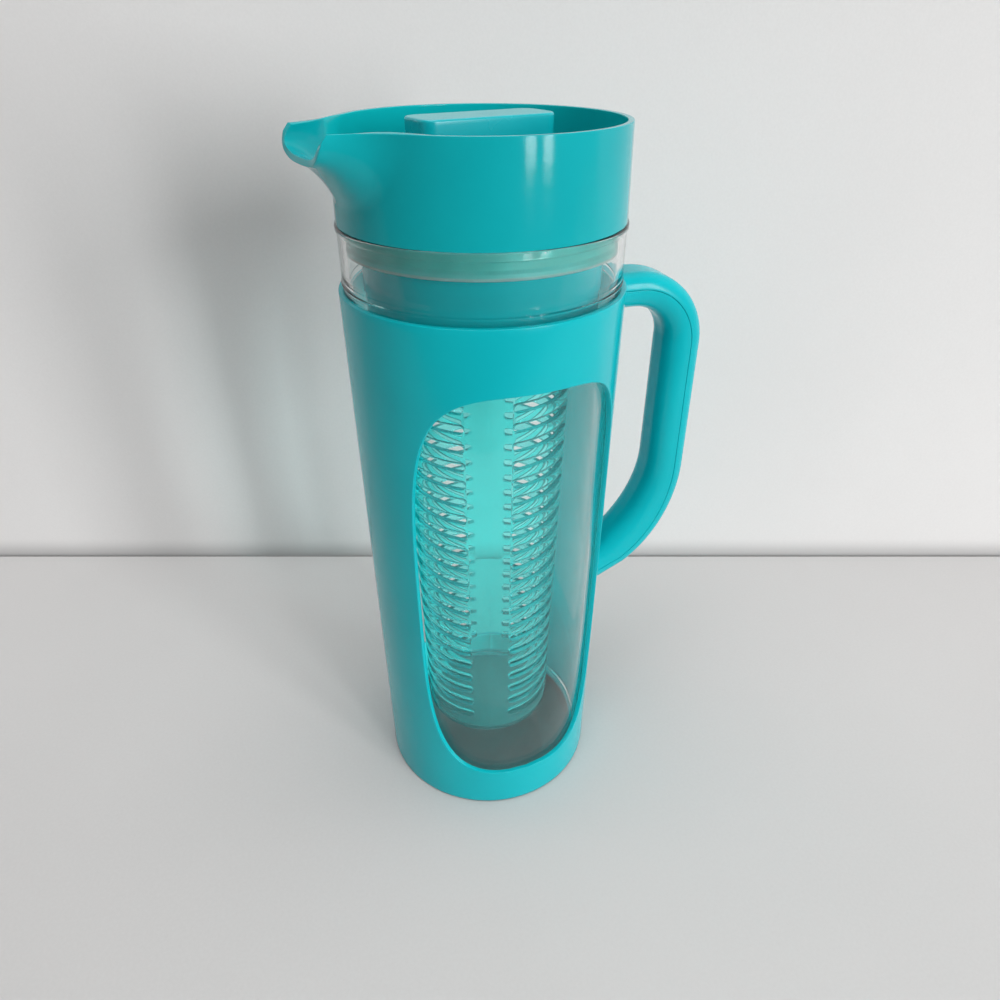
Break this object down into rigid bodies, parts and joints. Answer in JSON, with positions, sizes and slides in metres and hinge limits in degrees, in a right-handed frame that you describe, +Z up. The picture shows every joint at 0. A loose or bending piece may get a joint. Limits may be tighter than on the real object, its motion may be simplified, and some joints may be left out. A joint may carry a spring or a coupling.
{
  "type": "infusion pitcher",
  "caption": "Tall infusion pitcher: a clear vessel in a windowed, handled sleeve, under a spouted push-fit lid with a turning pour knob and a slotted infuser that hangs in the drink.",
  "frame": {"origin": "on the pitcher's axis, at the underside of the base pad that stands on the table", "axes": "+Z up along the pitcher's axis, +X out along the handle"},
  "size_m": [0.158, 0.1064, 0.296],
  "materials": {
    "sleeve_plastic": "gloss moulded teal plastic",
    "lid_plastic": "high gloss moulded teal plastic",
    "knob_plastic": "satin gloss moulded teal plastic",
    "clear_plastic": "clear moulded plastic",
    "tinted_plastic": "clear teal-tinted moulded plastic",
    "seal_silicone": "translucent silicone",
    "ring_rubber": "matt rubber",
    "pad_rubber": "matt grey rubber",
    "screw_steel": "plain stainless steel"
  },
  "bodies": {
    "base": {"sleeve": "sleeve_plastic", "handle_cover": "sleeve_plastic", "base_pad": "pad_rubber"},
    "vessel": {"vessel": "clear_plastic"},
    "seal": {"lid_seal": "seal_silicone"},
    "lid": {"lid": "lid_plastic"},
    "knob": {"knob": "knob_plastic", "shaft_ring": "ring_rubber", "shutter": "lid_plastic", "shutter_screw": "screw_steel"},
    "infuser": {"infuser": "tinted_plastic"}
  },
  "joints": [
    {"name": "vessel_lift", "type": "slide", "parent": "base", "child": "vessel", "axis": [0, 0, 1], "range_m": [0, 0.24]},
    {"name": "lid_lift", "type": "slide", "parent": "vessel", "child": "seal", "axis": [0, 0, 1], "range_m": [0, 0.24]},
    {"name": "lid_turn", "type": "hinge", "parent": "seal", "child": "lid", "pos_m": [0, 0, 0.25], "axis": [0, 0, 1], "continuous": true},
    {"name": "knob_turn", "type": "hinge", "parent": "lid", "child": "knob", "pos_m": [0, 0, 0.27], "axis": [0, 0, 1], "range_deg": [0, 90]},
    {"name": "infuser_turn", "type": "hinge", "parent": "lid", "child": "infuser", "pos_m": [0, 0, 0.24], "axis": [0, 0, 1], "range_deg": [0, 60]}
  ]
}
